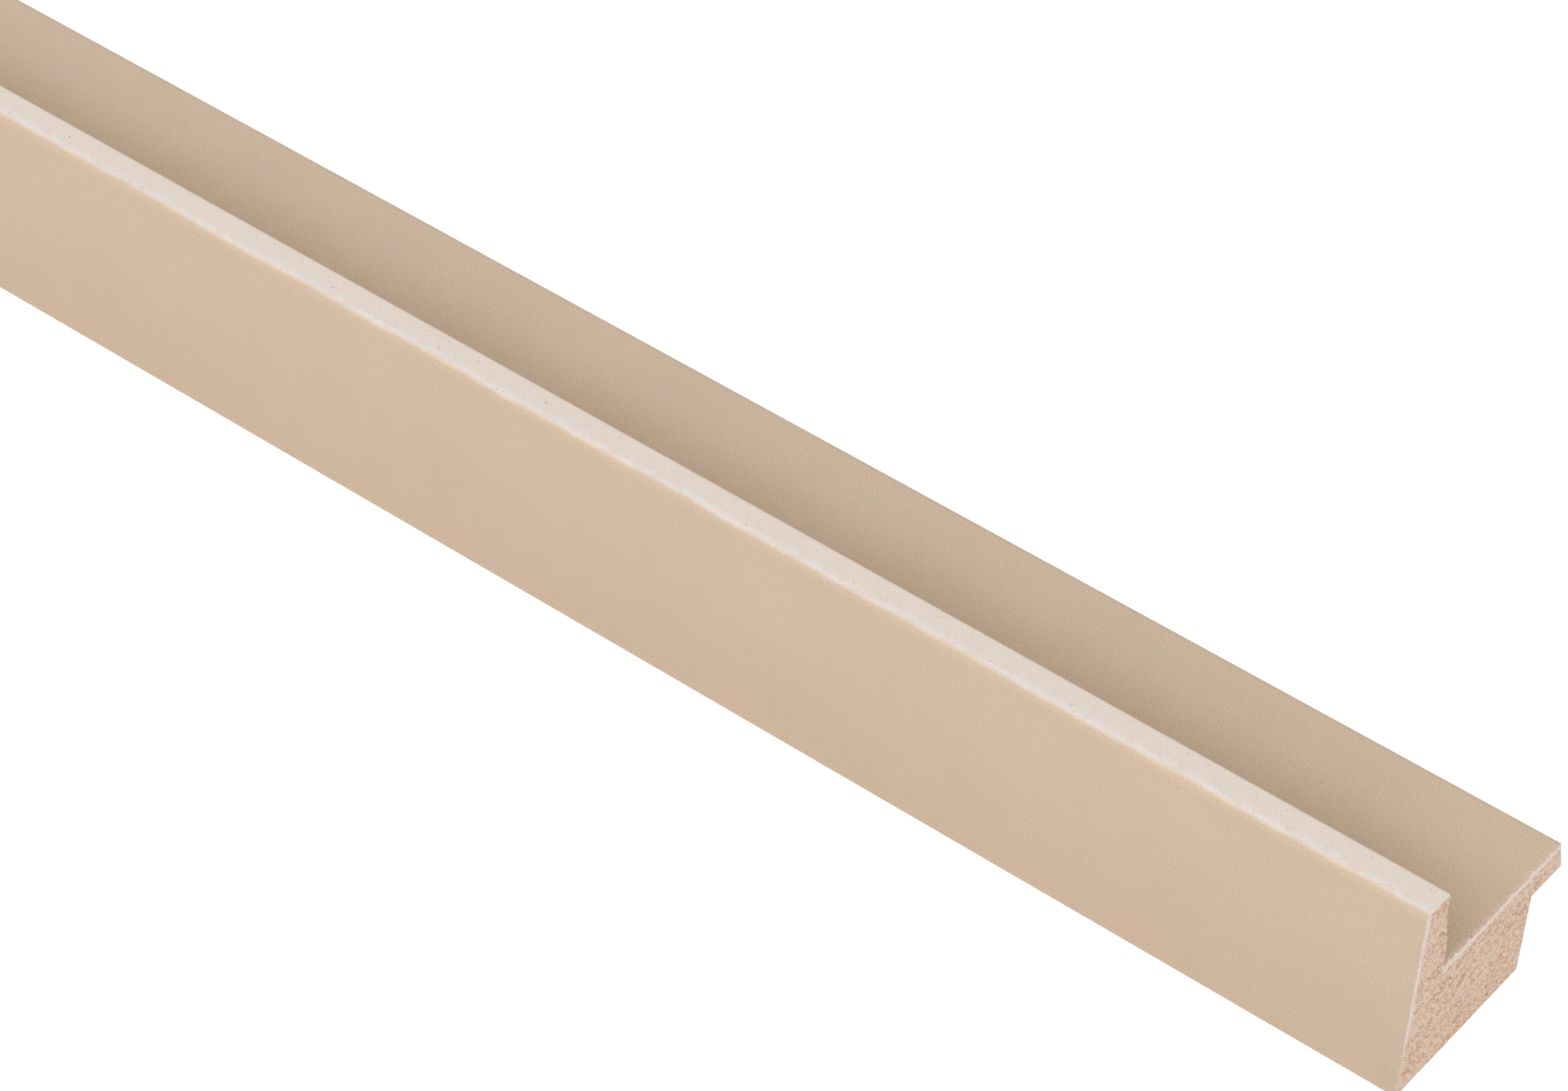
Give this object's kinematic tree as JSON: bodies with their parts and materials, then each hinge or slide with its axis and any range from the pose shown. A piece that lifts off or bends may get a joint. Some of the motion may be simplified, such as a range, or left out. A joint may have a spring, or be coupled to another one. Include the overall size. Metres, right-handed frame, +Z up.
{
  "type": "picture frame moulding",
  "caption": "Straight wood picture frame moulding with a raised outer edge, a sunk flat face and a lip over a rebate, coated in gesso and matte lacquer where it shows.",
  "frame": {"origin": "middle of the stick's length and overall width, on its back", "axes": "+X along the stick, +Y from the outer face across to the sight edge, +Z up from the back to the top edge"},
  "size_m": [2.4, 0.03, 0.0274],
  "materials": {
    "bare_wood": "bare, planed along the stick and sawn across the ends",
    "lacquered_gesso": "matte sand lacquer over white gesso, ivory along the top edge"
  },
  "bodies": {
    "root": {"wood_moulding": "bare_wood", "gesso_coat": "lacquered_gesso"}
  },
  "joints": []
}
